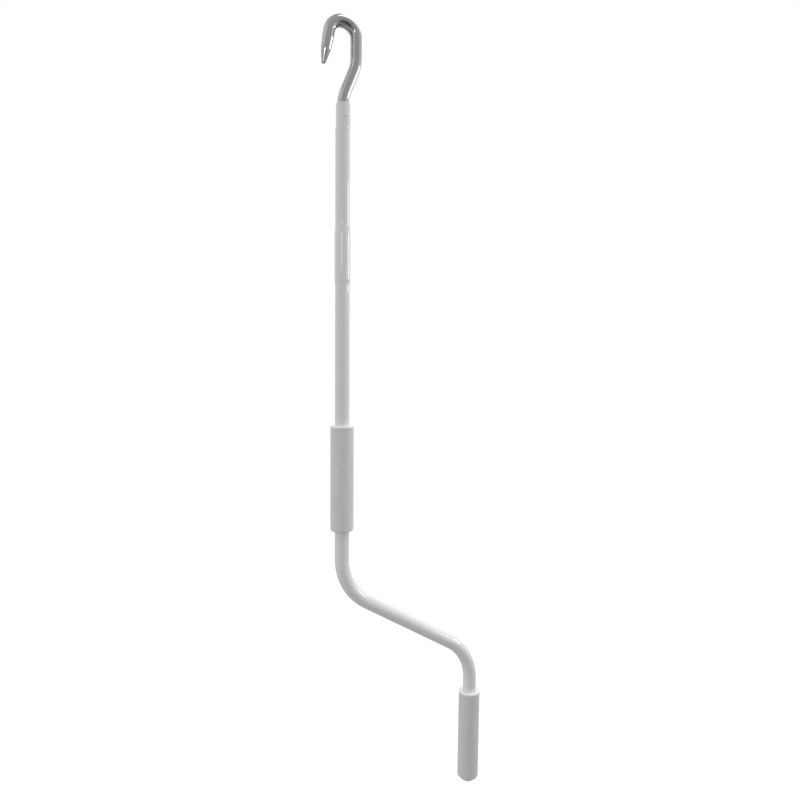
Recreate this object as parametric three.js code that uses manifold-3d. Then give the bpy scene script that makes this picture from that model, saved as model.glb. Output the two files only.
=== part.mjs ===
// A hook-ended hand crank for winding a line or awning reel: a two-piece lacquered steel tube
// with a chromed hook at the top, a steadying grip on the shaft and a cranking grip on the
// offset end. Both grips spin freely on the tube.
//
// Millimetres. The origin is the seat of the hook, the highest point inside its arch, on the
// axis of the shaft. +Z is up along the shaft, and the crank is thrown towards +X.

import * as THREE from 'three';
import { mergeVertices } from 'three/addons/utils/BufferGeometryUtils.js';
import Module from 'manifold-3d';

const wasm = await Module();
wasm.setup();

// Facets around a piece, the angle between the steps of a bend, and the gap between pieces.
const FACETS = 32;
const SMALL_FACETS = 24;
const BEND_STEP = THREE.MathUtils.degToRad(10);
const GAP = 0.3;

// Tube stock and the crank's layout. The arm falls by ARM_DROP as it crosses the throw.
const TUBE_R = 7;
const WALL = 1;
const BORE_R = TUBE_R - WALL;
const THROW = 150;
const ARM_DROP = 94.8;
const ARM_CORNER_Z = -536.65;
const ARM_BEND_R = 56;

// Upper tube: its mouth with a rounded edge, its two crimps below the mouth, and its socket,
// which is drawn in at its own mouth so that it meets the crank tube almost flush.
const MOUTH_Z = -68.45;
const LIP_HEIGHT = 0.8;
const LIP_R = 6.5;
const CRIMPS = [11.8, 22];
const CRIMP_DEPTH = 0.35;
const CRIMP_HALF = 1.8;
const SOCKET_Z = -234.85;
const SOCKET_DEPTH = 47.5;
const SOCKET_FLARE = 7;
const SOCKET_R = 7.5;
const SOCKET_TAPER = 3.5;
const SOCKET_MOUTH_R = 7.05;

// Spigot: the reduced end of the crank tube that fits the socket.
const SPIGOT_R = SOCKET_R - WALL - GAP;
const SPIGOT_SHOULDER = 1.2;

// The dimple that locks the two tubes: its height above the socket's mouth, its bearing
// around the shaft, and the spheres that press it.
const DIMPLE_RISE = 4;
const DIMPLE_BEARING = THREE.MathUtils.degToRad(-121);
const DIMPLE_R = 2.2;
const DIMPLE_SKIN = 0.8;

// Hook: round bar, offset limb, arch and tapered tip.
const BAR_R = 5.75;
const LIMB_X = 13;
const LEAN = THREE.MathUtils.degToRad(22.8);
const LEAN_TOP_Z = -31.6;
const NECK_BEND_R = 42;
const LIMB_BEND_R = 35;
const ARCH_R = 13.3;
const ARCH_SWEEP = THREE.MathUtils.degToRad(169.7);
const TIP_LIMB = 30.4;
const TAPER = 18.3;
const TIP_R = 2.5;

// Hook shank: the length in the tube, the land that fills the bore, the neck in the bend, and
// how far above the tube's mouth the shoulder of the full bar lies.
const SHANK_LENGTH = 50;
const LAND_R = 5.65;
const NECK_R = 5.3;
const SHOULDER_RISE = 1.2;
const SHANK_GROOVE = 0.65;

// Grips: both share one outside size, one bore and one flanged bush.
const GRIP_R = 11.5;
const GRIP_LENGTH = 104.2;
const GRIP_BORE_R = 9.2;
const SHAFT_GRIP_Z = -475.75;
const CRANK_GRIP_Z = -780.05;
const END_CHAMFER = 4.6;
const END_WALL = 5;
const EDGE = 1;
const FLANGE = 2.1;
const BUSH_DEPTH = 12;
const BUSH_BORE_R = TUBE_R + GAP;
const BUSH_R = GRIP_BORE_R - GAP;
const RECESS_R = 10.4;
const RECESS = 1.8;
const PAD = 2;

// Push-on stop rings with their thrust washers, and the plug in the end of the tube.
const RING_R = 8.7;
const WASHER = 0.8;
const RING = 1;
const RING_DISH = 0.5;
const PLUG_HEAD = 1.2;
const PLUG_SHANK = 10;

const COLOURS = {
  chrome: { color: 0xd9dadc, roughness: 0.12, metalness: 1 },
  lacquer: { color: 0xf0f0ee, roughness: 0.25, metalness: 0 },
  greyPlastic: { color: 0xb4b3b0, roughness: 0.55, metalness: 0 },
  warmGreyPlastic: { color: 0xaeaca7, roughness: 0.55, metalness: 0 },
  whitePlastic: { color: 0xecebe7, roughness: 0.45, metalness: 0 },
  steel: { color: 0x9a9c9f, roughness: 0.35, metalness: 1 },
};

// Turns closed three.js geometry into a manifold solid.
function solid(geometry) {
  geometry.deleteAttribute('normal');
  geometry.deleteAttribute('uv');
  const merged = mergeVertices(geometry);
  const corners = merged.index.array;
  const triangles = [];
  for (let i = 0; i < corners.length; i += 3) {
    const [a, b, c] = corners.slice(i, i + 3);
    if (a !== b && b !== c && c !== a) triangles.push(a, b, c);
  }
  return new wasm.Manifold(new wasm.Mesh({
    numProp: 3,
    vertProperties: Float32Array.from(merged.attributes.position.array),
    triVerts: Uint32Array.from(triangles),
  }));
}

// Revolves an outline of [radius, z] points about the Z axis. The outline runs up the outside
// and, on a piece with a bore, back down the inside.
function revolve(outline, facets = FACETS) {
  const hollow = outline[0][0] > 0;
  const closed = hollow ? [...outline, outline[0]] : outline;
  const points = closed.map(([radius, z]) => new THREE.Vector2(radius, z));
  const geometry = new THREE.LatheGeometry(points, facets);
  geometry.rotateX(Math.PI / 2);
  return solid(geometry);
}

function ball(radius, centre) {
  const geometry = new THREE.SphereGeometry(radius, 16, 12);
  geometry.translate(centre.x, centre.y, centre.z);
  return solid(geometry);
}

// A centreline in the XZ plane made of straight runs and tangent turns. Its parameter counts
// stations, so an extrusion along it has one step on a run and even steps on a turn.
class BentLine extends THREE.Curve {
  constructor(x, z, heading, moves) {
    super();
    this.stations = [{ x, z, heading }];
    for (const move of moves) {
      if (move.run) this.addRun(move.run);
      else this.addTurn(move.turn, move.radius);
    }
  }

  get end() {
    return this.stations[this.stations.length - 1];
  }

  addRun(length) {
    const { x, z, heading } = this.end;
    this.stations.push({
      x: x + length * Math.cos(heading),
      z: z + length * Math.sin(heading),
      heading,
    });
  }

  // A positive angle turns anticlockwise, seen with +X to the right and +Z up.
  addTurn(angle, radius) {
    const start = this.end;
    const reach = Math.sign(angle) * radius;
    const centreX = start.x - reach * Math.sin(start.heading);
    const centreZ = start.z + reach * Math.cos(start.heading);
    const steps = Math.ceil(Math.abs(angle) / BEND_STEP);
    for (let i = 1; i <= steps; i += 1) {
      const heading = start.heading + (angle * i) / steps;
      this.stations.push({
        x: centreX + reach * Math.sin(heading),
        z: centreZ - reach * Math.cos(heading),
        heading,
      });
    }
  }

  getPoint(t) {
    const place = t * (this.stations.length - 1);
    const index = Math.min(Math.floor(place), this.stations.length - 2);
    const from = this.stations[index];
    const to = this.stations[index + 1];
    const part = place - index;
    return new THREE.Vector3(
      THREE.MathUtils.lerp(from.x, to.x, part),
      0,
      THREE.MathUtils.lerp(from.z, to.z, part),
    );
  }

  getTangent(t) {
    const { heading } = this.stations[Math.round(t * (this.stations.length - 1))];
    return new THREE.Vector3(Math.cos(heading), 0, Math.sin(heading));
  }

  getPointAt(u) {
    return this.getPoint(u);
  }

  getTangentAt(u) {
    return this.getTangent(u);
  }
}

// A solid round bar along a centreline.
function sweep(line, radius) {
  const section = new THREE.Shape();
  section.absarc(0, 0, radius, 0, 2 * Math.PI);
  return solid(new THREE.ExtrudeGeometry(section, {
    extrudePath: line,
    steps: line.stations.length - 1,
    curveSegments: FACETS / 2,
    bevelEnabled: false,
  }));
}

const UP = Math.PI / 2;
const DOWN = -Math.PI / 2;

// The hook's lower bend starts NECK_START_Z high and passes the tube's mouth part way round.
const LEAN_SHIFT = (NECK_BEND_R + LIMB_BEND_R) * (1 - Math.cos(LEAN));
const LEAN_RUN = (LIMB_X - LEAN_SHIFT) / Math.sin(LEAN);
const LEAN_END_Z = LEAN_TOP_Z + LIMB_BEND_R * Math.tan(LEAN / 2);
const LEAN_RISE = (NECK_BEND_R + LIMB_BEND_R) * Math.sin(LEAN) + LEAN_RUN * Math.cos(LEAN);
const NECK_START_Z = LEAN_END_Z - LEAN_RISE;
const ARCH_Z = -(ARCH_R - BAR_R);
const SHOULDER_Z = MOUTH_Z + SHOULDER_RISE;
const SHOULDER_TURN = Math.asin((SHOULDER_Z - NECK_START_Z) / NECK_BEND_R);

// The bar from the shoulder that sits over the tube's mouth to the tip.
function hookLine() {
  const x = NECK_BEND_R * (1 - Math.cos(SHOULDER_TURN));
  return new BentLine(x, SHOULDER_Z, UP - SHOULDER_TURN, [
    { turn: SHOULDER_TURN - LEAN, radius: NECK_BEND_R },
    { run: LEAN_RUN },
    { turn: LEAN, radius: LIMB_BEND_R },
    { run: ARCH_Z - LEAN_END_Z },
    { turn: ARCH_SWEEP, radius: ARCH_R },
    { run: TIP_LIMB },
  ]);
}

// The neck follows the start of the bend, from inside the land to inside the full bar.
function hookNeck() {
  const overlap = 2;
  return sweep(new BentLine(0, NECK_START_Z - 2 * overlap, UP, [
    { run: 2 * overlap },
    { turn: -SHOULDER_TURN - overlap / NECK_BEND_R, radius: NECK_BEND_R },
  ]), NECK_R);
}

function hookShank() {
  const foot = MOUTH_Z - SHANK_LENGTH;
  const top = NECK_START_Z - GAP;
  const outline = [[0, foot], [LAND_R - EDGE, foot], [LAND_R, foot + EDGE]];
  for (const drop of [...CRIMPS].reverse()) {
    const half = CRIMP_HALF + EDGE;
    outline.push(...dip(LAND_R, MOUTH_Z - drop, SHANK_GROOVE, half));
  }
  outline.push([LAND_R, top], [0, top]);
  return revolve(outline);
}

// Points of a smooth dip in a wall of the given radius, in order of rising z.
function dip(radius, z, depth, half) {
  const steps = 8;
  const points = [];
  for (let i = 0; i <= steps; i += 1) {
    const t = (2 * i) / steps - 1;
    points.push([radius - (depth * (1 + Math.cos(Math.PI * t))) / 2, z + t * half]);
  }
  return points;
}

// The waste around the tapered tip, in the frame of the limb: the tip's face is at z = 0 and
// the limb runs up the Z axis.
function tipWaste() {
  const outside = 2 * BAR_R;
  return revolve([
    [0, -GAP], [outside, -GAP], [outside, TAPER], [BAR_R, TAPER], [TIP_R, EDGE / 2],
    [TIP_R - EDGE / 2, 0], [0, 0],
  ]);
}

function hook() {
  const line = hookLine();
  const tip = line.end;
  const leanOut = THREE.MathUtils.radToDeg(tip.heading - DOWN - 2 * Math.PI);
  const waste = tipWaste().rotate([0, -leanOut, 0]).translate([tip.x, 0, tip.z]);
  return sweep(line, BAR_R).add(hookNeck()).add(hookShank()).subtract(waste);
}

function dimpleCentre() {
  const reach = SOCKET_R + DIMPLE_R - WALL + GAP;
  return new THREE.Vector3(
    reach * Math.cos(DIMPLE_BEARING),
    reach * Math.sin(DIMPLE_BEARING),
    SOCKET_Z + DIMPLE_RISE,
  );
}

function upperTube() {
  const socketTop = SOCKET_Z + SOCKET_DEPTH;
  const outer = [[SOCKET_MOUTH_R, SOCKET_Z], [SOCKET_R, SOCKET_Z + SOCKET_TAPER],
    [SOCKET_R, socketTop], [TUBE_R, socketTop + SOCKET_FLARE]];
  const inner = [[SOCKET_R - WALL, SOCKET_Z], [SOCKET_R - WALL, socketTop],
    [BORE_R, socketTop + SOCKET_FLARE]];
  for (const drop of [...CRIMPS].reverse()) {
    outer.push(...dip(TUBE_R, MOUTH_Z - drop, CRIMP_DEPTH, CRIMP_HALF));
    inner.push(...dip(BORE_R, MOUTH_Z - drop, CRIMP_DEPTH, CRIMP_HALF));
  }
  outer.push(...lip());
  inner.push([BORE_R, MOUTH_Z]);
  const tube = revolve([...outer, ...inner.reverse()]);
  const bump = ball(DIMPLE_R + DIMPLE_SKIN, dimpleCentre());
  const core = revolve([[0, SOCKET_Z], [SOCKET_R - WALL / 2, SOCKET_Z],
    [SOCKET_R - WALL / 2, socketTop], [0, socketTop]]);
  return tube.add(bump.intersect(core)).subtract(ball(DIMPLE_R, dimpleCentre()));
}

// The mouth's outer edge is rounded down to LIP_R on a quarter of an ellipse.
function lip() {
  const steps = 4;
  const points = [];
  for (let i = 0; i <= steps; i += 1) {
    const t = (i / steps) * (Math.PI / 2);
    points.push([
      LIP_R + (TUBE_R - LIP_R) * Math.cos(t),
      MOUTH_Z - LIP_HEIGHT + LIP_HEIGHT * Math.sin(t),
    ]);
  }
  return points;
}

// The crank tube's centreline between two heights, down the shaft, out along the arm and down.
function crankLine(topZ, bottomZ) {
  const turn = Math.atan2(THROW, ARM_DROP);
  const corner = ARM_BEND_R * Math.tan(turn / 2);
  return new BentLine(0, topZ, DOWN, [
    { run: topZ - ARM_CORNER_Z - corner },
    { turn, radius: ARM_BEND_R },
    { run: Math.hypot(THROW, ARM_DROP) - 2 * corner },
    { turn: -turn, radius: ARM_BEND_R },
    { run: ARM_CORNER_Z - ARM_DROP - corner - bottomZ },
  ]);
}

const TUBE_END_Z = CRANK_GRIP_Z + END_WALL + GAP + PAD + GAP + PLUG_HEAD + GAP;
const SPIGOT_Z = SOCKET_Z - GAP - SPIGOT_SHOULDER;
const SPIGOT_TOP_Z = SOCKET_Z + SOCKET_DEPTH - GAP;

function crankTube() {
  const overlap = 4;
  const shoulderR = TUBE_R - GAP / 2;
  const spigotBoreR = SPIGOT_R - WALL;
  const outside = sweep(crankLine(SPIGOT_Z, TUBE_END_Z), TUBE_R);
  const spigot = revolve([
    [0, SPIGOT_Z - overlap], [shoulderR, SPIGOT_Z - overlap], [shoulderR, SPIGOT_Z],
    [SPIGOT_R, SPIGOT_Z + SPIGOT_SHOULDER], [SPIGOT_R, SPIGOT_TOP_Z - EDGE],
    [SPIGOT_R - EDGE / 2, SPIGOT_TOP_Z], [0, SPIGOT_TOP_Z],
  ]);
  const bore = sweep(crankLine(SPIGOT_Z - overlap, TUBE_END_Z - EDGE), BORE_R);
  const spigotBore = revolve([
    [0, SPIGOT_Z - 2 * overlap], [spigotBoreR, SPIGOT_Z - 2 * overlap],
    [spigotBoreR, SPIGOT_TOP_Z + EDGE], [0, SPIGOT_TOP_Z + EDGE],
  ]);
  const seat = ball(DIMPLE_R + DIMPLE_SKIN + GAP, dimpleCentre());
  return outside.add(spigot).subtract(bore).subtract(spigotBore).subtract(seat);
}

// A cup-headed plug pressed into the lower end of the crank tube. Its face bears on the pad.
function tubeEndPlug() {
  const shankR = BORE_R - GAP;
  const face = TUBE_END_Z - GAP - PLUG_HEAD;
  return revolve([
    [0, face], [TUBE_R - EDGE, face], [TUBE_R - GAP, face + EDGE / 2],
    [TUBE_R - GAP, face + PLUG_HEAD], [shankR, face + PLUG_HEAD],
    [shankR, face + PLUG_HEAD + PLUG_SHANK - EDGE], [shankR - EDGE, face + PLUG_HEAD + PLUG_SHANK],
    [0, face + PLUG_HEAD + PLUG_SHANK],
  ], SMALL_FACETS);
}

// Grip pieces are made with the foot of the grip at z = 0.

const SLEEVE_TOP = GRIP_LENGTH - FLANGE - GAP;
const UPPER_BUSH_FOOT = SLEEVE_TOP - BUSH_DEPTH;

// Open at both ends, with a recess at the foot for the lower bush's flange.
function shaftGripSleeve() {
  return revolve([
    [RECESS_R + GAP, 0], [GRIP_R - EDGE, 0], [GRIP_R, EDGE], [GRIP_R, SLEEVE_TOP],
    [GRIP_BORE_R, SLEEVE_TOP], [GRIP_BORE_R, RECESS + GAP], [RECESS_R + GAP, RECESS + GAP],
  ]);
}

// Open at the top and closed at the foot.
function crankGripSleeve() {
  return revolve([
    [0, 0], [GRIP_R - END_CHAMFER, 0], [GRIP_R, END_CHAMFER], [GRIP_R, SLEEVE_TOP],
    [GRIP_BORE_R, SLEEVE_TOP], [GRIP_BORE_R, END_WALL], [0, END_WALL],
  ]);
}

// The flange caps the sleeve, and its outer edge is rounded.
function upperBush() {
  const roundR = 0.7;
  const steps = 4;
  const outline = [[BUSH_BORE_R, UPPER_BUSH_FOOT], [BUSH_R - EDGE / 2, UPPER_BUSH_FOOT],
    [BUSH_R, UPPER_BUSH_FOOT + EDGE], [BUSH_R, GRIP_LENGTH - FLANGE],
    [GRIP_R, GRIP_LENGTH - FLANGE]];
  for (let i = 0; i <= steps; i += 1) {
    const t = (i / steps) * (Math.PI / 2);
    outline.push([
      GRIP_R - roundR + roundR * Math.cos(t),
      GRIP_LENGTH - roundR + roundR * Math.sin(t),
    ]);
  }
  outline.push([BUSH_BORE_R + GAP, GRIP_LENGTH], [BUSH_BORE_R, GRIP_LENGTH - GAP]);
  return revolve(outline);
}

// The shaft grip's lower bush lies flush in the foot of its sleeve.
function recessedBush() {
  return revolve([
    [BUSH_BORE_R, 0], [RECESS_R, 0], [RECESS_R, RECESS], [BUSH_R, RECESS],
    [BUSH_R, BUSH_DEPTH - EDGE], [BUSH_R - EDGE / 2, BUSH_DEPTH], [BUSH_BORE_R, BUSH_DEPTH],
  ]);
}

// The crank grip's lower bush is a cup, and its floor is the pad under the tube's plug.
function cupBush() {
  const foot = END_WALL + GAP;
  return revolve([
    [0, foot], [BUSH_R - EDGE, foot], [BUSH_R, foot + EDGE], [BUSH_R, foot + BUSH_DEPTH],
    [BUSH_BORE_R, foot + BUSH_DEPTH], [BUSH_BORE_R, foot + PAD], [0, foot + PAD],
  ]);
}

function thrustWasher(z) {
  return revolve([
    [BUSH_BORE_R, z], [RING_R, z], [RING_R, z + WASHER], [BUSH_BORE_R, z + WASHER],
  ], SMALL_FACETS);
}

// A push-on ring, dished where it bites the tube. It is turned over above a lower bush.
function stopRing(z, dishDown) {
  const dish = dishDown ? -RING_DISH : RING_DISH;
  const low = z + (dishDown ? RING_DISH : 0);
  const midR = (BUSH_BORE_R + RING_R) / 2;
  return revolve([
    [BUSH_BORE_R, low + dish], [midR, low], [RING_R, low], [RING_R, low + RING],
    [midR, low + RING], [BUSH_BORE_R, low + RING + dish],
  ], SMALL_FACETS);
}

// Heights of the washers and rings, from the foot of a grip.
const UPPER_WASHER = UPPER_BUSH_FOOT - GAP - WASHER;
const UPPER_RING = UPPER_WASHER - GAP - RING - RING_DISH;
const LOWER_WASHER = BUSH_DEPTH + GAP;
const LOWER_RING = LOWER_WASHER + WASHER + GAP;

// Turns a manifold solid into a named mesh at the given place.
function piece(name, body, look, x = 0, z = 0) {
  const mesh = body.getMesh();
  const geometry = new THREE.BufferGeometry();
  geometry.setAttribute('position', new THREE.BufferAttribute(mesh.vertProperties, mesh.numProp));
  geometry.setIndex(new THREE.BufferAttribute(mesh.triVerts, 1));
  geometry.computeVertexNormals();
  const part = new THREE.Mesh(geometry, new THREE.MeshStandardMaterial(COLOURS[look]));
  part.name = name;
  part.position.set(x, 0, z);
  return part;
}

function fixedPieces() {
  return [
    piece('hook', hook(), 'chrome'),
    piece('upper_tube', upperTube(), 'lacquer'),
    piece('crank_tube', crankTube(), 'lacquer'),
    piece('tube_end_plug', tubeEndPlug(), 'whitePlastic', THROW),
    piece('shaft_grip_upper_ring', stopRing(UPPER_RING, false), 'steel', 0, SHAFT_GRIP_Z),
    piece('shaft_grip_upper_washer', thrustWasher(UPPER_WASHER), 'steel', 0, SHAFT_GRIP_Z),
    piece('shaft_grip_lower_washer', thrustWasher(LOWER_WASHER), 'steel', 0, SHAFT_GRIP_Z),
    piece('shaft_grip_lower_ring', stopRing(LOWER_RING, true), 'steel', 0, SHAFT_GRIP_Z),
    piece('crank_grip_ring', stopRing(UPPER_RING, false), 'steel', THROW, CRANK_GRIP_Z),
    piece('crank_grip_washer', thrustWasher(UPPER_WASHER), 'steel', THROW, CRANK_GRIP_Z),
  ];
}

function shaftGrip() {
  const grip = new THREE.Group();
  grip.position.set(0, 0, SHAFT_GRIP_Z);
  grip.add(
    piece('shaft_grip_sleeve', shaftGripSleeve(), 'greyPlastic'),
    piece('shaft_grip_upper_bush', upperBush(), 'whitePlastic'),
    piece('shaft_grip_lower_bush', recessedBush(), 'whitePlastic'),
  );
  return grip;
}

function crankGrip() {
  const grip = new THREE.Group();
  grip.position.set(THROW, 0, CRANK_GRIP_Z);
  grip.add(
    piece('crank_grip_sleeve', crankGripSleeve(), 'warmGreyPlastic'),
    piece('crank_grip_upper_bush', upperBush(), 'whitePlastic'),
    piece('crank_grip_lower_bush', cupBush(), 'whitePlastic'),
  );
  return grip;
}

const crank = new THREE.Group();
crank.add(...fixedPieces(), shaftGrip(), crankGrip());

export default crank;
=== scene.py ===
# Looks of the hook-ended winding crank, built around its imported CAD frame.
# Metres, in the frame's axes: +Z up the shaft, +X towards the thrown grip, origin at the seat
# of the hook.

import math

import bpy
from mathutils import Matrix, Vector


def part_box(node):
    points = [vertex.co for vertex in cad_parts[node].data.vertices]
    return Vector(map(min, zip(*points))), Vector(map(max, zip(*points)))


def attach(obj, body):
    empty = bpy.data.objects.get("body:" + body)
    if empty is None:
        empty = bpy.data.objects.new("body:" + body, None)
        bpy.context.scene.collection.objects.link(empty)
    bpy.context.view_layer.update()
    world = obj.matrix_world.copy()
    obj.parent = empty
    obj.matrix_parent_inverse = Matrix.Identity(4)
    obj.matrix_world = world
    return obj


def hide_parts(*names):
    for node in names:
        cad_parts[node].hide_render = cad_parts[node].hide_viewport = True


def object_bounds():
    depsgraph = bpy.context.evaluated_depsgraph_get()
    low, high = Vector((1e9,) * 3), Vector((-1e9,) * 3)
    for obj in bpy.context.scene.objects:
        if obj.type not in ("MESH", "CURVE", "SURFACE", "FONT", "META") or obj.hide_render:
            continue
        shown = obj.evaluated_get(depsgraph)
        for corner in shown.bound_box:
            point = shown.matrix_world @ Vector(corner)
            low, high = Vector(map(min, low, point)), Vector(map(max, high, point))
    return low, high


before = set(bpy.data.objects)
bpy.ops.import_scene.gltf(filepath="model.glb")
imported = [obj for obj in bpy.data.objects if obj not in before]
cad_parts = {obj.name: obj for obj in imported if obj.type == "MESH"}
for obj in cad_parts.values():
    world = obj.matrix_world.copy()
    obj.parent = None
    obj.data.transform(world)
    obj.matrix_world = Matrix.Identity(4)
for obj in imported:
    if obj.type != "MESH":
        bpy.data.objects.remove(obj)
cad_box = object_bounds()

MM = 0.001
UP = math.pi / 2

# Fineness: sides around a piece, the angle between rings on a bend, steps in a rounding, the
# distance between rings over a small feature, and the least one between a bend's ring and another.
SIDES = 96
BEND_STEP = math.radians(2.5)
ROUND_STEPS = 6
FINE_STEP = 0.3 * MM
RING_MARGIN = 0.1 * MM

# The lacquer stands proud of the tubes' steel.
LACQUER = 0.15 * MM

# Sizes read from the frame.
hook_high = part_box("hook")[1]
upper_low, upper_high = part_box("upper_tube")
crank_low, crank_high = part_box("crank_tube")
shaft_sleeve_low, shaft_sleeve_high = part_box("shaft_grip_sleeve")
crank_sleeve_low, crank_sleeve_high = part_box("crank_grip_sleeve")
shaft_bush_low, shaft_bush_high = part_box("shaft_grip_upper_bush")
crank_bush_low, crank_bush_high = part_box("crank_grip_upper_bush")
foot_bush_low, foot_bush_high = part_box("shaft_grip_lower_bush")

TUBE_R = crank_high.y + LACQUER
SOCKET_R = upper_high.y + LACQUER
BAR_R = hook_high.y
GRIP_R = shaft_sleeve_high.y
LIMB_X = hook_high.x - BAR_R
THROW = (crank_sleeve_low.x + crank_sleeve_high.x) / 2
MOUTH_Z = upper_high.z
SOCKET_Z = upper_low.z

# The tubes' wall and cut edges.
WALL = 1 * MM
BORE_R = TUBE_R - WALL
CUT_EDGE = 0.25 * MM
INNER_EDGE = 0.1 * MM

# The upper tube's rounded mouth, whose bore narrows on the hook's shank.
LIP = 0.5 * MM
CRIMP_BORE_R = BAR_R + 0.07 * MM
CRIMP_LENGTH = 5 * MM
CRIMP_RUN = 2 * MM
CRIMP_EDGE = 0.15 * MM

# The socket at its foot, from the tapered mouth to the flare, and how softly each one starts.
SOCKET_DEPTH = 47.5 * MM
SOCKET_FLARE = 7 * MM
FLARE_ROUNDING = 5 * MM
SOCKET_TAPER = 3.5 * MM
SOCKET_TAPER_ROUNDING = 8 * MM
SOCKET_MOUTH_R = TUBE_R + 0.05 * MM
SOCKET_EDGE = 0.2 * MM

# The crank tube's spigot in the socket, with the shoulder below it, outside and in the bore.
SPIGOT_R = SOCKET_R - WALL - 0.1 * MM
SHOULDER_RUN = 1.2 * MM
BORE_RUN = 2 * MM

# The arm falls by ARM_DROP as it crosses the throw, between two equal bends.
ARM_DROP = 94.8 * MM
ARM_CORNER_Z = -536.65 * MM
ARM_BEND_R = 56 * MM

# The hook's bar: a lean between two bends, an arch, and a tip on the free limb, whose taper gets
# steeper at the knee.
LEAN = math.radians(22.8)
LEAN_TOP_Z = -31.6 * MM
NECK_BEND_R = 42 * MM
LIMB_BEND_R = 35 * MM
ARCH_R = 13.3 * MM
ARCH_SWEEP = math.radians(169.7)
TIP_LIMB = 30.4 * MM
TAPER = 25 * MM
TAPER_START_ROUNDING = 60 * MM
KNEE = 13.5 * MM
KNEE_R = 5.05 * MM
KNEE_ROUNDING = 40 * MM
TIP_R = 1.9 * MM
TIP_ROUNDING = 0.7 * MM
SHANK_LENGTH = 50 * MM
SHANK_ROUNDING = 1 * MM

# The grips: bores, bushes and roundings, and how far a sleeve's top comes up into the CAD's gap
# below the flange, which leaves a fine seam.
GRIP_BORE_R = 9.2 * MM
BUSH_BORE_R = 7.3 * MM
BUSH_R = 8.9 * MM
RECESS_R = 10.4 * MM
RECESS = 1.8 * MM
RECESS_GAP = 0.2 * MM
FOOT_ROUNDING = 1.3 * MM
TOP_EDGE = 0.12 * MM
FLANGE = 2.1 * MM
FLANGE_ROUNDING = 0.9 * MM
UPPER_BUSH_EDGE = 0.4 * MM
FOOT_BUSH_EDGE = 0.3 * MM
GAP_CLOSED = 0.17 * MM
END_CHAMFER = 4.6 * MM
END_ROUNDING = 2 * MM
END_WALL = 5 * MM


# ---------------------------------------------------------------------------------- meshes


class Line:
    """A centreline in the XZ plane that starts upwards: straight runs and tangent turns.

    A positive turn is anticlockwise, seen with +X to the right and +Z up.
    """

    def __init__(self, x, z, moves=()):
        self.parts = []
        self.length = 0
        self.first = self.last = (x, z, UP)
        for move in moves:
            if len(move) == 1:
                self.add(move[0], 0)
            else:
                turn, radius = move
                self.add(abs(turn) * radius, math.copysign(1 / radius, turn))

    def add(self, length, curvature):
        self.parts.append((self.length, length, curvature, self.last))
        self.last = self.along(self.last, length, curvature)
        self.length += length

    @staticmethod
    def along(start, distance, curvature):
        x, z, heading = start
        if curvature == 0:
            return (x + distance * math.cos(heading), z + distance * math.sin(heading), heading)
        ahead = heading + distance * curvature
        x += (math.sin(ahead) - math.sin(heading)) / curvature
        z -= (math.cos(ahead) - math.cos(heading)) / curvature
        return (x, z, ahead)

    def at(self, s):
        """Place and heading at arc length s. Both ends go on straight."""
        begun = [part for part in self.parts if part[0] <= s]
        if not begun:
            return self.along(self.first, s, 0)
        begin, length, curvature, start = begun[-1]
        if s > begin + length:
            return self.along(self.along(start, length, curvature), s - begin - length, 0)
        return self.along(start, s - begin, curvature)

    def stations(self, low, high):
        """Arc lengths between low and high where a bend needs a ring."""
        found = []
        for begin, length, curvature, _ in self.parts:
            steps = max(1, math.ceil(abs(length * curvature) / BEND_STEP))
            found += [begin + length * i / steps for i in range(steps + 1)]
        return [s for s in sorted(set(found)) if low + RING_MARGIN < s < high - RING_MARGIN]


def rounded(corners):
    """Turns an outline's corners (s, r), or (s, r, rounding) with a radius, into points (s, r)."""
    points = []
    for i, corner in enumerate(corners):
        here = Vector(corner[:2])
        rounding = corner[2] if len(corner) > 2 else 0
        if rounding == 0:
            points.append(tuple(here))
            continue
        back = (Vector(corners[i - 1][:2]) - here).normalized()
        ahead = (Vector(corners[(i + 1) % len(corners)][:2]) - here).normalized()
        half = back.angle(ahead) / 2
        centre = here + (back + ahead).normalized() * rounding / math.sin(half)
        start = here + back * rounding / math.tan(half) - centre
        end = here + ahead * rounding / math.tan(half) - centre
        turn = math.atan2(start.x * end.y - start.y * end.x, start.dot(end))
        for step in range(ROUND_STEPS + 1):
            spin = Matrix.Rotation(turn * step / ROUND_STEPS, 2)
            points.append(tuple(centre + spin @ start))
    return points


def refined(outline, line, spans=()):
    """Adds the rings that the line's bends need, and close rings in the given spans of s."""
    points = []
    for i, (s, r) in enumerate(outline):
        points.append((s, r))
        next_s, next_r = outline[(i + 1) % len(outline)]
        low, high = min(s, next_s), max(s, next_s)
        along_the_line = r == 0 and i == len(outline) - 1
        if high - low < FINE_STEP or along_the_line:
            continue
        extra = line.stations(low, high)
        for begin, end in spans:
            count = math.ceil((end - begin) / FINE_STEP)
            extra += [begin + (end - begin) * n / count for n in range(count + 1)]
        extra = sorted({round(e, 7) for e in extra if low < e < high}, reverse=next_s < s)
        points += [(e, r + (next_r - r) * (e - s) / (next_s - s)) for e in extra]
    return points


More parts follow.
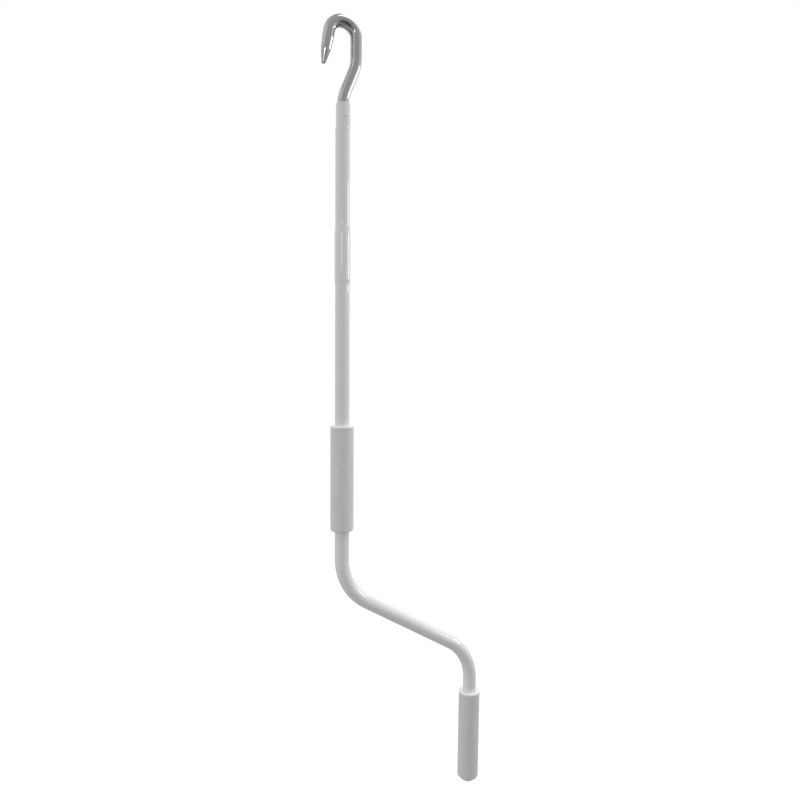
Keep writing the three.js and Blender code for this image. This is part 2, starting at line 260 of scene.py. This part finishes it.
def sweep(name, line, outline, spans=(), shape=None):
    """Carries an outline round and along a line.

    The outline's points (s, r) run up the outside. It starts and ends on the line (r = 0), or
    it is a closed loop round the wall of a tube. shape(s, r, bearing) returns the final radius.
    The attribute "section" keeps each point's place on the straightened piece.
    """
    points = refined(outline, line, spans)
    vertices, sections, rings = [], [], []
    for s, r in points:
        x, z, heading = line.at(s)
        side = Vector((math.sin(heading), 0, -math.cos(heading)))
        rings.append(range(len(vertices), len(vertices) + (SIDES if r > 0 else 1)))
        for k in rings[-1]:
            bearing = 2 * math.pi * (k - rings[-1][0]) / SIDES
            radius = shape(s, r, bearing) if shape and r > 0 else r
            out = side * math.cos(bearing) + Vector((0, math.sin(bearing), 0))
            vertices.append(Vector((x, 0, z)) + out * radius)
            sections.append((radius * math.cos(bearing), radius * math.sin(bearing), s))
    faces = []
    loop = points[0][1] > 0
    for i in range(len(rings) if loop else len(rings) - 1):
        lower, upper = rings[i], rings[(i + 1) % len(rings)]
        for k in range(SIDES):
            n = (k + 1) % SIDES
            if len(lower) == 1:
                faces.append((lower[0], upper[n], upper[k]))
            elif len(upper) == 1:
                faces.append((lower[k], lower[n], upper[0]))
            else:
                faces.append((lower[k], lower[n], upper[n], upper[k]))
    mesh = bpy.data.meshes.new(name)
    mesh.from_pydata(vertices, [], faces)
    mesh.shade_smooth()
    section = mesh.attributes.new("section", "FLOAT_VECTOR", "POINT")
    section.data.foreach_set("vector", [value for row in sections for value in row])
    piece = bpy.data.objects.new(name, mesh)
    bpy.context.scene.collection.objects.link(piece)
    even = piece.modifiers.new("even_normals", "WEIGHTED_NORMAL")
    even.keep_sharp = True
    return piece


def assign(piece, material, body, node):
    """Gives a piece its material and its body, and hides the CAD node that it stands for."""
    piece.data.materials.append(material)
    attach(piece, body)
    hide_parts(node)


def swell(value, half):
    """A smooth bump of height 1 at 0 that ends at +-half."""
    return 0 if abs(value) >= half else (1 + math.cos(math.pi * value / half)) / 2


def turn_from(bearing, other):
    """The turn from one bearing to the other, between half a turn back and half a turn on."""
    return (other - bearing + math.pi) % (2 * math.pi) - math.pi


# ---------------------------------------------------------------------------------- pieces


def hook_line():
    """From the foot of the shank to the tip."""
    shift = (NECK_BEND_R + LIMB_BEND_R) * (1 - math.cos(LEAN))
    lean_run = (LIMB_X - shift) / math.sin(LEAN)
    lean_end_z = LEAN_TOP_Z + LIMB_BEND_R * math.tan(LEAN / 2)
    rise = (NECK_BEND_R + LIMB_BEND_R) * math.sin(LEAN) + lean_run * math.cos(LEAN)
    foot_z = MOUTH_Z - SHANK_LENGTH
    return Line(0, foot_z, [
        (lean_end_z - rise - foot_z,),
        (-LEAN, NECK_BEND_R),
        (lean_run,),
        (LEAN, LIMB_BEND_R),
        (BAR_R - ARCH_R - lean_end_z,),
        (ARCH_SWEEP, ARCH_R),
        (TIP_LIMB,),
    ])


def make_hook(material):
    """Solid bar, from the foot of the shank inside the tube to the tip."""
    line = hook_line()
    tip = line.length
    outline = rounded([
        (0, 0),
        (0, BAR_R, SHANK_ROUNDING),
        (tip - TAPER, BAR_R, TAPER_START_ROUNDING),
        (tip - KNEE, KNEE_R, KNEE_ROUNDING),
        (tip, TIP_R, TIP_ROUNDING),
        (tip, 0),
    ])
    piece = sweep("winding_hook", line, outline)
    assign(piece, material, "crank", "hook")


# The crimped end, by heights above the socket's mouth: a ridge raised on one side, which drops
# as it goes round and keeps its full height over its middle, and below it the step where the
# end was pressed a little in and sideways.
RIDGE_S = MOUTH_Z - SOCKET_Z - 12 * MM
RIDGE_BEARING = math.radians(-74)
RIDGE_REACH = math.radians(52)
RIDGE_FULLNESS = 1.8
RIDGE = 0.36 * MM
RIDGE_HALF = 2.2 * MM
RIDGE_DROP = 0.4 * MM
STEP_S = MOUTH_Z - SOCKET_Z - 22 * MM
STEP_RUN = 2.4 * MM
STEP_IN = 0.05 * MM
STEP_ASIDE = 0.42 * MM

# The dimple that locks the crank tube in the socket.
DIMPLE_S = 2.8 * MM
DIMPLE_BEARING = math.radians(-126)
DIMPLE_HALF = 2.4 * MM
DIMPLE = 0.2 * MM


def upper_tube_radius(s, r, bearing):
    """The crimped end, on the outside, and the dimple, on both faces of the wall."""
    outside = r > BORE_R + WALL / 4
    if outside:
        around = turn_from(RIDGE_BEARING, bearing)
        ridge_s = RIDGE_S - RIDGE_DROP * math.sin(around)
        across = min(1, RIDGE_FULLNESS * swell(around, RIDGE_REACH))
        r += RIDGE * across * swell(s - ridge_s, RIDGE_HALF)
        pressed = min(1, max(0, (s - STEP_S) / STEP_RUN + 0.5))
        pressed *= pressed * (3 - 2 * pressed)
        r += pressed * (STEP_ASIDE * math.cos(bearing) - STEP_IN)
    away = math.hypot(s - DIMPLE_S, SOCKET_R * turn_from(DIMPLE_BEARING, bearing))
    return r - DIMPLE * swell(away, DIMPLE_HALF)


def make_upper_tube(material):
    """Up the outside from the socket to the mouth on the hook's shank, and down the bore."""
    top = MOUTH_Z - SOCKET_Z
    neck = SOCKET_DEPTH + SOCKET_FLARE
    outline = rounded([
        (0, BORE_R, INNER_EDGE),
        (0, SOCKET_MOUTH_R, SOCKET_EDGE),
        (SOCKET_TAPER, SOCKET_R, SOCKET_TAPER_ROUNDING),
        (SOCKET_DEPTH, SOCKET_R, FLARE_ROUNDING),
        (neck, TUBE_R, FLARE_ROUNDING),
        (top, TUBE_R, LIP),
        (top, CRIMP_BORE_R, CRIMP_EDGE),
        (top - CRIMP_LENGTH, CRIMP_BORE_R),
        (top - CRIMP_LENGTH - CRIMP_RUN, BORE_R),
        (neck, BORE_R, FLARE_ROUNDING),
        (SOCKET_DEPTH, SOCKET_R - WALL, FLARE_ROUNDING),
        (SOCKET_TAPER, SOCKET_R - WALL, FLARE_ROUNDING),
    ])
    spans = [(DIMPLE_S - DIMPLE_HALF, DIMPLE_S + DIMPLE_HALF),
             (STEP_S - STEP_RUN, STEP_S + STEP_RUN),
             (RIDGE_S - RIDGE_DROP - RIDGE_HALF, RIDGE_S + RIDGE_DROP + RIDGE_HALF)]
    piece = sweep("upper_shaft_tube", Line(0, SOCKET_Z), outline, spans, upper_tube_radius)
    assign(piece, material, "crank", "upper_tube")


# How much a bend flattens the tube in the plane of the bend, and over what length it starts.
FLATTENING = 0.022
FLATTENING_RUN = 14 * MM


def make_crank_tube(material):
    """Up from its cut end in the cranking grip, along the arm, to the spigot in the socket."""
    turn = math.atan2(THROW, ARM_DROP)
    corner = ARM_BEND_R * math.tan(turn / 2)
    lower_run = ARM_CORNER_Z - ARM_DROP - corner - crank_low.z
    arm_run = math.hypot(THROW, ARM_DROP) - 2 * corner
    upper_run = crank_high.z - ARM_CORNER_Z - corner
    line = Line(THROW, crank_low.z, [
        (lower_run,), (turn, ARM_BEND_R), (arm_run,), (-turn, ARM_BEND_R), (upper_run,),
    ])
    bends = [(begin, begin + length) for begin, length, curvature, _ in line.parts if curvature]
    shoulder = line.length - (crank_high.z - SOCKET_Z)

    def flattened(s, r, bearing):
        """Each bend takes a little off the tube in its plane, and adds half as much across."""
        amount = 0
        for begin, end in bends:
            inside = min(s - begin, end - s) / FLATTENING_RUN + 0.5
            amount += FLATTENING * min(1, max(0, inside))
        return r * (1 - amount * math.cos(bearing) ** 2 + amount / 2 * math.sin(bearing) ** 2)

    outline = rounded([
        (0, BORE_R, CUT_EDGE),
        (0, TUBE_R, CUT_EDGE),
        (shoulder, TUBE_R, INNER_EDGE),
        (shoulder + SHOULDER_RUN, SPIGOT_R),
        (line.length, SPIGOT_R, CUT_EDGE),
        (line.length, SPIGOT_R - WALL, CUT_EDGE),
        (shoulder, SPIGOT_R - WALL),
        (shoulder - BORE_RUN, BORE_R),
    ])
    piece = sweep("crank_shaft_tube", line, outline, shape=flattened)
    assign(piece, material, "crank", "crank_tube")


def make_shaft_sleeve(material):
    """Open at both ends, with a recess at the foot for the foot bush."""
    high = shaft_sleeve_high.z - shaft_sleeve_low.z + GAP_CLOSED
    outline = rounded([
        (0, RECESS_R + RECESS_GAP, RECESS_GAP),
        (0, GRIP_R, FOOT_ROUNDING),
        (high, GRIP_R, TOP_EDGE),
        (high, GRIP_BORE_R),
        (RECESS + RECESS_GAP, GRIP_BORE_R),
        (RECESS + RECESS_GAP, RECESS_R + RECESS_GAP),
    ])
    piece = sweep("shaft_grip_shell", Line(0, shaft_sleeve_low.z), outline)
    assign(piece, material, "shaft_grip", "shaft_grip_sleeve")


def make_crank_sleeve(material):
    """Closed at the foot by a chamfered end."""
    high = crank_sleeve_high.z - crank_sleeve_low.z + GAP_CLOSED
    outline = rounded([
        (0, 0),
        (0, GRIP_R - END_CHAMFER, END_ROUNDING),
        (END_CHAMFER, GRIP_R, END_ROUNDING),
        (high, GRIP_R, TOP_EDGE),
        (high, GRIP_BORE_R),
        (END_WALL, GRIP_BORE_R),
        (END_WALL, 0),
    ])
    piece = sweep("crank_grip_shell", Line(THROW, crank_sleeve_low.z), outline)
    assign(piece, material, "crank_grip", "crank_grip_sleeve")


def make_upper_bush(name, x, low, high, material, body, node):
    """A flanged bush: its flange caps the sleeve, with a rounded outer edge."""
    depth = high.z - low.z
    outline = rounded([
        (0, BUSH_BORE_R, UPPER_BUSH_EDGE),
        (0, BUSH_R, UPPER_BUSH_EDGE),
        (depth - FLANGE, BUSH_R),
        (depth - FLANGE, GRIP_R, INNER_EDGE),
        (depth, GRIP_R, FLANGE_ROUNDING),
        (depth, BUSH_BORE_R, UPPER_BUSH_EDGE),
    ])
    piece = sweep(name, Line(x, low.z), outline)
    assign(piece, material, body, node)


def make_foot_bush(material):
    """Lies flush in the foot of the shaft grip's sleeve."""
    depth = foot_bush_high.z - foot_bush_low.z
    outline = rounded([
        (0, BUSH_BORE_R, FOOT_BUSH_EDGE),
        (0, RECESS_R, FOOT_BUSH_EDGE),
        (RECESS, RECESS_R, FOOT_BUSH_EDGE),
        (RECESS, BUSH_R),
        (depth, BUSH_R, FOOT_BUSH_EDGE),
        (depth, BUSH_BORE_R, FOOT_BUSH_EDGE),
    ])
    piece = sweep("shaft_grip_foot_bush", Line(0, foot_bush_low.z), outline)
    assign(piece, material, "shaft_grip", "shaft_grip_lower_bush")


# ------------------------------------------------------------------------------- materials

# The range that noise mostly fills.
NOISE_LOW = 0.3
NOISE_HIGH = 0.7


class Finish:
    """A principled material whose colour, roughness and height come from noise.

    The noise lies on the straightened piece, or on the piece as it stands.
    """

    def __init__(self, name, straightened=True, **sockets):
        self.material = bpy.data.materials.new(name)
        self.material.use_nodes = True
        self.nodes = self.material.node_tree.nodes
        self.links = self.material.node_tree.links
        self.shader = self.nodes["Principled BSDF"]
        for socket, value in sockets.items():
            self.shader.inputs[socket.replace("_", " ")].default_value = value
        if straightened:
            source = self.nodes.new("ShaderNodeAttribute")
            source.attribute_name = "section"
            self.place = source.outputs["Vector"]
        else:
            self.place = self.nodes.new("ShaderNodeTexCoord").outputs["Object"]

    def noise(self, size, stretch=1, detail=3):
        """Noise with features of the given size, drawn out along the piece by stretch."""
        scale = self.nodes.new("ShaderNodeVectorMath")
        scale.operation = "MULTIPLY"
        scale.inputs[1].default_value = (1 / size, 1 / size, 1 / (size * stretch))
        texture = self.nodes.new("ShaderNodeTexNoise")
        texture.inputs["Scale"].default_value = 1
        texture.inputs["Detail"].default_value = detail
        self.links.new(self.place, scale.inputs[0])
        self.links.new(scale.outputs["Vector"], texture.inputs["Vector"])
        return texture.outputs["Fac"]

    def spread(self, value, low, high):
        """Maps noise to the range from low to high."""
        node = self.nodes.new("ShaderNodeMapRange")
        node.inputs["From Min"].default_value = NOISE_LOW
        node.inputs["From Max"].default_value = NOISE_HIGH
        node.inputs["To Min"].default_value = low
        node.inputs["To Max"].default_value = high
        self.links.new(value, node.inputs["Value"])
        return node.outputs["Result"]

    def colour(self, value, dark, light):
        mix = self.nodes.new("ShaderNodeMix")
        mix.data_type = "RGBA"
        mix.inputs["A"].default_value = (*dark, 1)
        mix.inputs["B"].default_value = (*light, 1)
        self.links.new(self.spread(value, 0, 1), mix.inputs["Factor"])
        self.links.new(mix.outputs["Result"], self.shader.inputs["Base Color"])

    def roughness(self, value, low, high):
        self.links.new(self.spread(value, low, high), self.shader.inputs["Roughness"])

    def height(self, value, depth, strength=1):
        """Adds relief of the given depth on top of any relief before it."""
        bump = self.nodes.new("ShaderNodeBump")
        bump.inputs["Strength"].default_value = strength
        bump.inputs["Distance"].default_value = depth
        self.links.new(value, bump.inputs["Height"])
        normal = self.shader.inputs["Normal"]
        if normal.is_linked:
            self.links.new(normal.links[0].from_socket, bump.inputs["Normal"])
        self.links.new(bump.outputs["Normal"], normal)


def chrome():
    """Bright plate over drawn bar: the bar's draw lines run along it."""
    look = Finish("chrome_plate", Metallic=1)
    look.colour(look.noise(2 * MM, stretch=30), (0.44, 0.44, 0.45), (0.515, 0.515, 0.522))
    look.roughness(look.noise(1.6 * MM, stretch=25), 0.04, 0.10)
    look.height(look.noise(1.3 * MM, stretch=120, detail=1), depth=0.05 * MM, strength=0.2)
    look.height(look.noise(9 * MM, stretch=6, detail=0), depth=0.06 * MM, strength=0.3)
    return look.material


def lacquer():
    """Gloss white stoved lacquer, with faint orange peel."""
    look = Finish("white_gloss_lacquer", Coat_Weight=0.85, Coat_Roughness=0.09, Coat_IOR=1.6,
                  IOR=1.25)
    look.colour(look.noise(9 * MM, stretch=6), (0.845, 0.843, 0.843), (0.87, 0.868, 0.867))
    look.roughness(look.noise(3 * MM), 0.40, 0.50)
    look.height(look.noise(2.6 * MM, detail=1), depth=0.01 * MM, strength=0.12)
    look.height(look.noise(12 * MM, stretch=4, detail=1), depth=0.04 * MM, strength=0.3)
    return look.material


def moulded(name, dark, light, roughness, gloss=0.4, straightened=True):
    """Satin moulded plastic: fine grain, faint flow lines along the piece.

    gloss is the shader's specular level.
    """
    look = Finish(name, straightened, Specular_IOR_Level=gloss)
    look.colour(look.noise(2.5 * MM, stretch=14), dark, light)
    look.roughness(look.noise(1.2 * MM), roughness - 0.05, roughness + 0.05)
    look.height(look.noise(0.35 * MM, detail=2), depth=0.03 * MM, strength=0.5)
    look.height(look.noise(6 * MM, stretch=8, detail=1), depth=0.06 * MM, strength=0.3)
    return look.material


def steel():
    """Plain spring steel, finely brushed."""
    look = Finish("plain_spring_steel", straightened=False, Metallic=1)
    look.colour(look.noise(2 * MM), (0.46, 0.47, 0.48), (0.58, 0.59, 0.60))
    look.roughness(look.noise(0.5 * MM), 0.25, 0.42)
    look.height(look.noise(0.25 * MM), depth=0.02 * MM, strength=0.5)
    return look.material


def repaint(node, material):
    """Gives a carried-over CAD node its procedural material."""
    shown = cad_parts[node]
    shown.data.materials.clear()
    shown.data.materials.append(material)


# ----------------------------------------------------------------------------------- stage

# The floor lies so far below the object that no shadow shows on it, as in the photo.
CENTRE = (cad_box[0] + cad_box[1]) / 2
FLOOR_Z = cad_box[0].z - 0.62
DOME_R = 9

# The camera, fitted to the photo's view: its lens and sensor in mm, and its turns in radians.
SENSOR = 36
LENS = 27
CAMERA_PLACE = Vector((-183.94, -556.17, -297.13)) * MM
CAMERA_TURN = -0.4158
CAMERA_PITCH = 0.0835
CAMERA_ROLL = -0.01

# The bearing, in degrees, of the viewer as seen from the shaft.
VIEW_BEARING = -108.3


def toward(bearing, elevation):
    """A unit vector at a bearing from +X and an elevation above the floor, in degrees."""
    a, e = math.radians(bearing), math.radians(elevation)
    return Vector((math.cos(a) * math.cos(e), math.sin(a) * math.cos(e), math.sin(e)))


def softbox(name, bearing, elevation, distance, width, height, radiance):
    """A rectangular light that faces the hook.

    Its bearing is from the viewer, positive to the viewer's right, in degrees.
    """
    data = bpy.data.lights.new(name, "AREA")
    data.shape = "RECTANGLE"
    data.size = width
    data.size_y = height
    data.energy = radiance * math.pi * width * height
    lamp = bpy.data.objects.new(name, data)
    lamp.location = toward(VIEW_BEARING + bearing, elevation) * distance
    lamp.rotation_euler = lamp.location.to_track_quat("Z", "Y").to_euler()
    lamp.visible_camera = False
    bpy.context.scene.collection.objects.link(lamp)


def plain(name, colour, glow):
    """A matte surface that glows, so that the ground is as evenly white as the photo's."""
    material = bpy.data.materials.new(name)
    material.use_nodes = True
    shader = material.node_tree.nodes["Principled BSDF"]
    shader.inputs["Base Color"].default_value = (*colour, 1)
    shader.inputs["Roughness"].default_value = 0.9
    shader.inputs["Specular IOR Level"].default_value = 0
    shader.inputs["Emission Color"].default_value = (1, 1, 1, 1)
    shader.inputs["Emission Strength"].default_value = glow
    return material


def backdrop(piece, material):
    """Puts a stage surface in place. It is seen, and it doesn't light or mirror the object."""
    piece.data.materials.append(material)
    piece.visible_diffuse = False
    piece.visible_glossy = False
    piece.visible_transmission = False
    piece.visible_shadow = False


def make_stage():
    bpy.ops.mesh.primitive_circle_add(vertices=96, radius=DOME_R, fill_type="NGON",
                                      location=(CENTRE.x, CENTRE.y, FLOOR_Z))
    backdrop(bpy.context.object, plain("pale_floor", (0.05, 0.05, 0.05), 0.99))
    bpy.context.object.name = "floor"
    bpy.ops.mesh.primitive_uv_sphere_add(segments=64, ring_count=32, radius=DOME_R,
                                         location=(CENTRE.x, CENTRE.y, FLOOR_Z))
    backdrop(bpy.context.object, plain("pale_dome", (0, 0, 0), 1))
    bpy.context.object.name = "dome"


# The room's brightness by elevation in degrees, on each side of the object, and the share that a
# side has at each bearing from the viewer, positive to the viewer's right. The front has the rest.
ROOM_STRENGTH = 1.40
FRONT = [(-90, 0.28), (-65, 0.22), (-45, 0.08), (-30, 0.05), (-20, 0.08), (-5, 0.26), (5, 0.33),
         (25, 0.36), (50, 0.41), (65, 0.42), (90, 0.42)]
LEFT = [(-90, 0.28), (-60, 0.40), (-35, 0.48), (-15, 0.44), (0, 0.40), (12, 0.48), (25, 0.56),
        (37, 0.71), (50, 0.58), (70, 0.52), (90, 0.42)]
RIGHT = [(-90, 0.28), (-55, 0.32), (-35, 0.24), (-20, 0.30), (-5, 0.46), (5, 0.55), (20, 0.64),
         (28, 0.53), (37, 0.60), (44, 0.90), (50, 1.05), (58, 1.1), (75, 0.75), (90, 0.42)]
BACK = [(-90, 0.28), (-50, 0.30), (-25, 0.36), (-10, 0.48), (5, 0.70), (20, 0.95), (45, 1.1),
        (60, 0.75), (90, 0.42)]
LEFT_SHARE = [(-180, 0), (-135, 0.2), (-105, 0.75), (-85, 1), (-40, 0.95), (-26, 0.25), (-10, 0),
              (180, 0)]
RIGHT_SHARE = [(-180, 0), (15, 0), (55, 0.15), (68, 0.9), (75, 1), (115, 1), (135, 0.6),
               (160, 0.3), (180, 0)]
BACK_SHARE = [(-180, 1), (-150, 1), (-125, 0.6), (-105, 0.2), (-85, 0), (90, 0), (110, 0.25),
              (130, 0.6), (150, 1), (180, 1)]


def make_world():
    """A studio: grey on the viewer's side, bright behind the object, dark towards the floor."""
    world = bpy.data.worlds.new("studio")
    bpy.context.scene.world = world
    world.use_nodes = True
    nodes, links = world.node_tree.nodes, world.node_tree.links
    place = nodes.new("ShaderNodeTexCoord").outputs["Generated"]

    def along(direction):
        dot = nodes.new("ShaderNodeVectorMath")
        dot.operation = "DOT_PRODUCT"
        dot.inputs[1].default_value = direction
        links.new(place, dot.inputs[0])
        return dot.outputs["Value"]

    def ramp(value, limit, stops):
        """Levels by value, which runs from -limit to limit."""
        spread = nodes.new("ShaderNodeMapRange")
        spread.inputs["From Min"].default_value = -limit
        spread.inputs["From Max"].default_value = limit
        node = nodes.new("ShaderNodeValToRGB")
        while len(node.color_ramp.elements) < len(stops):
            node.color_ramp.elements.new(0.5)
        for element, (place_on_ramp, level) in zip(node.color_ramp.elements, stops):
            element.position = (place_on_ramp / limit + 1) / 2
            element.color = (level, level, level, 1)
        links.new(value, spread.inputs["Value"])
        links.new(spread.outputs["Result"], node.inputs["Fac"])
        return node.outputs["Color"]

    def by_height(stops):
        sines = [(math.sin(math.radians(elevation)), level) for elevation, level in stops]
        return ramp(along((0, 0, 1)), 1, sines)

    bearing = nodes.new("ShaderNodeMath")
    bearing.operation = "ARCTAN2"
    links.new(along(toward(VIEW_BEARING + 90, 0)), bearing.inputs[0])
    links.new(along(toward(VIEW_BEARING, 0)), bearing.inputs[1])
    level = by_height(FRONT)
    for stops, share in ((LEFT, LEFT_SHARE), (RIGHT, RIGHT_SHARE), (BACK, BACK_SHARE)):
        turns = [(math.radians(degrees), part) for degrees, part in share]
        mix = nodes.new("ShaderNodeMix")
        mix.data_type = "RGBA"
        links.new(ramp(bearing.outputs["Value"], math.pi, turns), mix.inputs["Factor"])
        links.new(level, mix.inputs["A"])
        links.new(by_height(stops), mix.inputs["B"])
        level = mix.outputs["Result"]
    links.new(level, nodes["Background"].inputs["Color"])
    nodes["Background"].inputs["Strength"].default_value = ROOM_STRENGTH


def make_lights():
    """A key from above, and two windows whose streaks show on the hook and the tube."""
    softbox("key", bearing=84, elevation=66, distance=2, width=1.7, height=0.8, radiance=2.1)
    softbox("window_left", bearing=-9.5, elevation=8.5, distance=8, width=2.3, height=0.62,
            radiance=5.6)
    softbox("window_right", bearing=96, elevation=9, distance=8, width=2.9, height=1.5,
            radiance=6.2)


def make_camera():
    """At the photo's viewing angle, from which the throw is to the right."""
    data = bpy.data.cameras.new("camera")
    data.sensor_width = SENSOR
    data.lens = LENS
    data.clip_end = 4 * DOME_R
    camera = bpy.data.objects.new("camera", data)
    across = math.cos(CAMERA_PITCH)
    ahead = Vector((-math.sin(CAMERA_TURN) * across, math.cos(CAMERA_TURN) * across,
                    -math.sin(CAMERA_PITCH)))
    level = Vector((math.cos(CAMERA_TURN), math.sin(CAMERA_TURN), 0))
    plumb = ahead.cross(level)
    right = math.cos(CAMERA_ROLL) * level + math.sin(CAMERA_ROLL) * plumb
    down = -math.sin(CAMERA_ROLL) * level + math.cos(CAMERA_ROLL) * plumb
    axes = Matrix((right, -down, -ahead)).transposed()
    camera.matrix_world = Matrix.Translation(CAMERA_PLACE) @ axes.to_4x4()
    bpy.context.scene.collection.objects.link(camera)
    bpy.context.scene.camera = camera


# ------------------------------------------------------------------------------- the scene

white = lacquer()
nylon = moulded("off_white_nylon", dark=(0.92, 0.92, 0.905), light=(0.95, 0.95, 0.94),
                roughness=0.45, gloss=0.05)
plain_nylon = moulded("inner_nylon", dark=(0.82, 0.82, 0.80), light=(0.88, 0.88, 0.86),
                      roughness=0.45, straightened=False)
make_hook(chrome())
make_upper_tube(white)
make_crank_tube(white)
make_shaft_sleeve(moulded("grey_plastic", dark=(0.755, 0.752, 0.750), light=(0.79, 0.787, 0.785),
                          roughness=0.36))
make_crank_sleeve(moulded("warm_grey_plastic", dark=(0.70, 0.690, 0.675),
                          light=(0.735, 0.725, 0.709), roughness=0.38))
make_upper_bush("shaft_grip_cap_bush", 0, shaft_bush_low, shaft_bush_high, nylon,
                "shaft_grip", "shaft_grip_upper_bush")
make_upper_bush("crank_grip_cap_bush", THROW, crank_bush_low, crank_bush_high, nylon,
                "crank_grip", "crank_grip_upper_bush")
make_foot_bush(nylon)

spring = steel()
for name in ("shaft_grip_upper_ring", "shaft_grip_upper_washer", "shaft_grip_lower_washer",
             "shaft_grip_lower_ring", "crank_grip_ring", "crank_grip_washer"):
    repaint(name, spring)
for name in ("tube_end_plug", "crank_grip_lower_bush"):
    repaint(name, plain_nylon)

make_stage()
make_world()
make_lights()
make_camera()
bpy.context.scene.view_settings.view_transform = "Standard"
